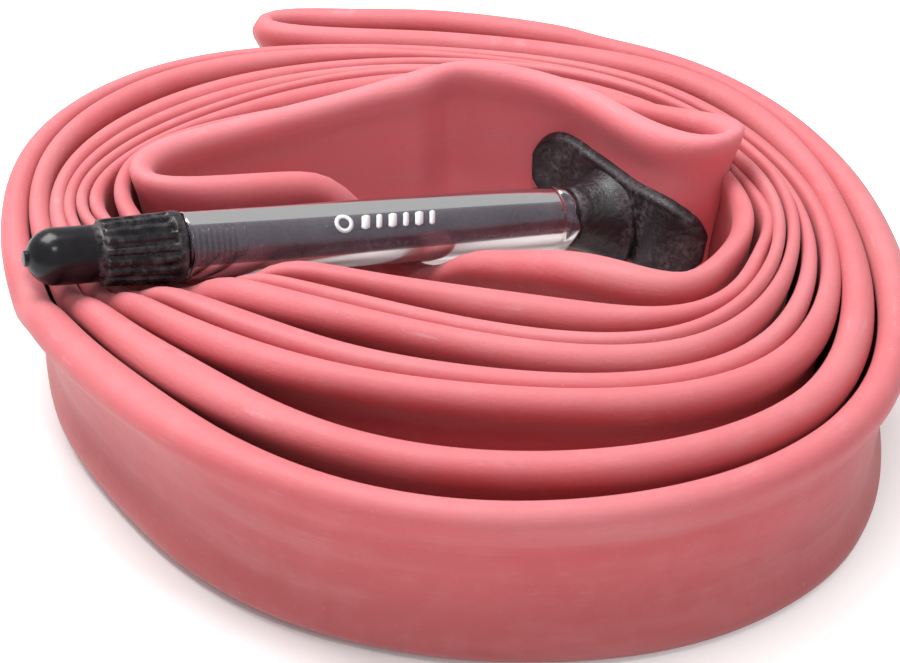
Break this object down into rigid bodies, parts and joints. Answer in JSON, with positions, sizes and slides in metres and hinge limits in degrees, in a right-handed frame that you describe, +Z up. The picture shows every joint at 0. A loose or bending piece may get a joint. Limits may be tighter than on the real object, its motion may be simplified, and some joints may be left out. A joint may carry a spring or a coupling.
{
  "type": "bicycle inner tube",
  "caption": "Latex road-bicycle inner tube, flattened, folded double and rolled into an upright coil, with a long stem valve in a clear sleeve under a dust cap.",
  "frame": {"origin": "middle of the coil's footprint, on the surface it stands on", "axes": "+Z up, along the coil's winding axis; +Y towards the coil's back, where the outer fold is; +X to the right, the side the valve's rubber foot is on"},
  "size_m": [0.1194, 0.1261, 0.0309],
  "materials": {
    "latex": "matte, dusted with talc",
    "black_rubber": "matte moulded rubber",
    "stem_alloy": "smooth turned metal",
    "core_brass": "nickel-plated brass",
    "clear_plastic": "thin clear plastic tube",
    "cap_plastic": "black moulded plastic"
  },
  "bodies": {
    "tube": {"inner_tube": "latex", "valve_patch": "black_rubber", "valve_stem": "stem_alloy"},
    "core": {"core_body": "core_brass", "core_seal": "black_rubber"},
    "nut": {"lock_nut": "core_brass"},
    "pin": {"valve_pin": "core_brass", "plunger": "core_brass", "plunger_seal": "black_rubber"},
    "sleeve": {"stem_sleeve": "clear_plastic"},
    "cap": {"dust_cap": "cap_plastic"}
  },
  "joints": [
    {"name": "core_turn", "type": "hinge", "parent": "tube", "child": "core", "pos_m": [-0.03445, -0.01091, 0.02444], "axis": [-0.8904, -0.4192, 0.1771], "range_deg": [0, 720]},
    {"name": "lock_nut_turn", "type": "hinge", "parent": "core", "child": "nut", "pos_m": [-0.04327, -0.01506, 0.02619], "axis": [-0.8904, -0.4192, 0.1771], "range_deg": [0, 720]},
    {"name": "pin_press", "type": "slide", "parent": "core", "child": "pin", "axis": [-0.8904, -0.4192, 0.1771], "range_m": [-0.001, 0]},
    {"name": "sleeve_slide", "type": "slide", "parent": "tube", "child": "sleeve", "axis": [-0.8904, -0.4192, 0.1771], "range_m": [0, 0.075]},
    {"name": "cap_pull", "type": "slide", "parent": "sleeve", "child": "cap", "axis": [-0.8904, -0.4192, 0.1771], "range_m": [0, 0.04]}
  ],
  "couplings": [
    {"joint": "lock_nut_turn", "follows": "pin_press", "rad_per_m": -12560}
  ]
}
